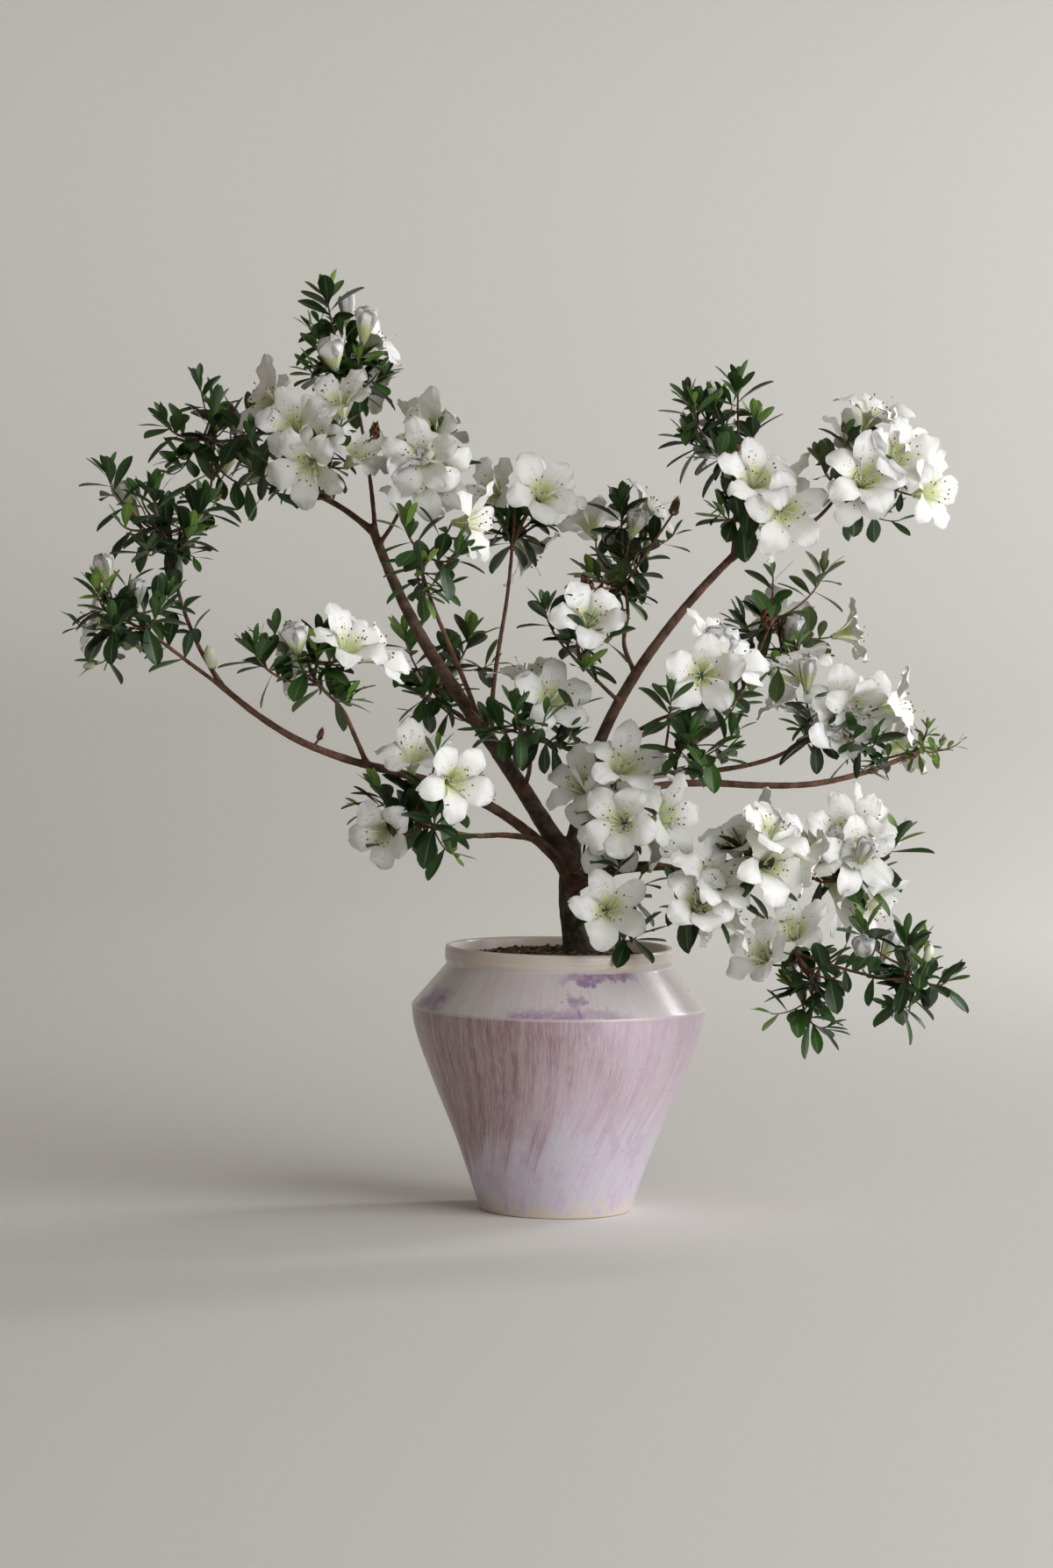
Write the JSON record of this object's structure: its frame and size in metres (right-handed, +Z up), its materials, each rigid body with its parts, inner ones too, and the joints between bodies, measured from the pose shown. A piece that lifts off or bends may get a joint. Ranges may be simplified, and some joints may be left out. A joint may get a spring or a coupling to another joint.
{
  "type": "potted azalea shrub",
  "caption": "White-flowered azalea shrub with an open, spreading crown on a short leaning trunk, in a shouldered pot with a lilac glaze.",
  "frame": {"origin": "middle of the flat underside of the pot", "axes": "+Z up, +X to the right and -Y to the viewer when the open face of the crown is looked at"},
  "size_m": [0.8262, 0.4846, 0.8731],
  "materials": {
    "glazed_pot": "glossy lilac and off-white glaze, brushed upright",
    "potting_mix": "moist bark chips",
    "bark": "rough grey-brown bark",
    "young_bark": "smooth reddish bark",
    "foliage": "half-glossy dark green leaves",
    "blossom": "thin white petals with a lime throat"
  },
  "bodies": {
    "root": {"pot": "glazed_pot", "potting_mix": "potting_mix", "trunk": "bark", "centre_right_stem": "young_bark", "centre_spray": "young_bark", "crown_right": "young_bark", "droop_far": "young_bark", "droop_main": "bark", "droop_outer": "young_bark", "droop_tip": "young_bark", "droop_upper": "young_bark", "far_left_low": "young_bark", "far_left_riser": "young_bark", "inner_right_twig": "young_bark", "leader_twig": "young_bark", "left_bough": "young_bark", "left_crown": "young_bark", "left_leader": "bark", "low_left_limb": "bark", "low_left_short": "young_bark", "right_back": "young_bark", "right_crown": "young_bark", "right_cut_arm": "young_bark", "right_inner": "young_bark", "right_leader": "bark", "right_low_arm": "young_bark", "right_riser": "young_bark", "slender_centre": "young_bark", "slender_left": "young_bark", "top_centre_stem": "young_bark", "top_riser": "young_bark", "centre_right_leaves": "foliage", "droop_far_leaves": "foliage", "droop_tip_leaves": "foliage", "far_left_leaves": "foliage", "inner_right_leaves": "foliage", "left_crown_leaves": "foliage", "left_inner_leaves": "foliage", "low_left_leaves": "foliage", "right_back_leaves": "foliage", "right_cut_leaves": "foliage", "right_top_leaves": "foliage", "top_centre_leaves": "foliage", "top_left_leaves": "foliage", "centre_blossom": "blossom", "droop_blossom": "blossom", "droop_outer_blossom": "blossom", "droop_upper_blossom": "blossom", "far_left_blossom": "blossom", "front_blossom": "blossom", "hanging_bloom": "blossom", "left_blossom": "blossom", "left_centre_blossom": "blossom", "left_crown_blossom": "blossom", "right_blossom": "blossom", "right_crown_blossom": "blossom", "right_inner_blossom": "blossom", "right_shoulder_blossom": "blossom", "slender_centre_blossom": "blossom", "slender_left_blossom": "blossom"}
  },
  "joints": []
}
